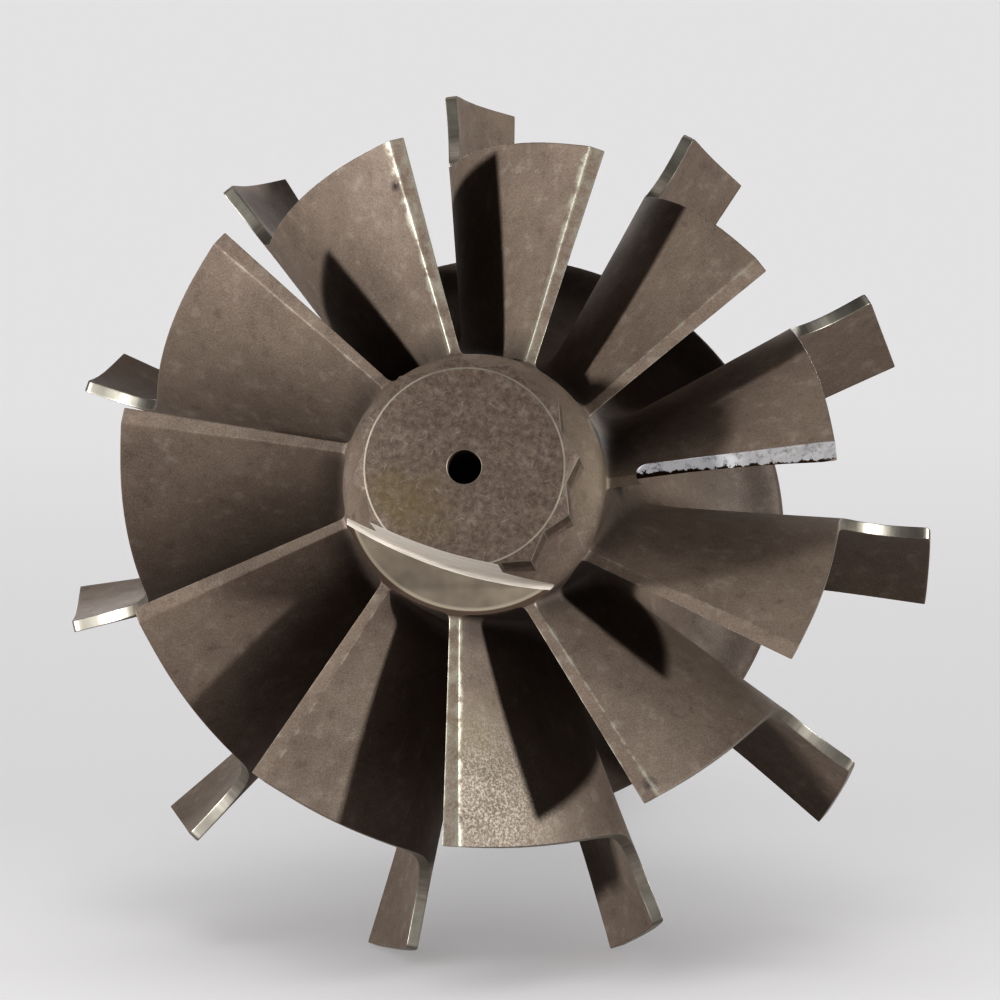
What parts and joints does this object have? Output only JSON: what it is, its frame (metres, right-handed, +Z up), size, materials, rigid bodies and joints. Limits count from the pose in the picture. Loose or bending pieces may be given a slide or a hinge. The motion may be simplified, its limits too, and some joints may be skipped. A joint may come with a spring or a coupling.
{
  "type": "turbocharger turbine wheel and shaft",
  "caption": "Radial-inflow turbine wheel with curved thin blades, round back disc and twelve-point nose, welded to a stepped steel shaft.",
  "frame": {"origin": "on the ground under the middle of the part's box, as the rotor lies on two blade corners and the shaft's end", "axes": "+Z up, nose of the wheel towards -Y and 14 degrees up, shaft towards +Y, +X to the right when looking at the nose"},
  "size_m": [0.0758, 0.166, 0.0746],
  "materials": {
    "cast_alloy": "fine-grained brown-grey nickel alloy casting, grit-blasted, stained, with a ground balance flat",
    "turned_steel": "turned and ground steel with a light oil stain"
  },
  "bodies": {
    "root": {"turbine_wheel_casting": "cast_alloy", "shaft": "turned_steel"}
  },
  "joints": []
}
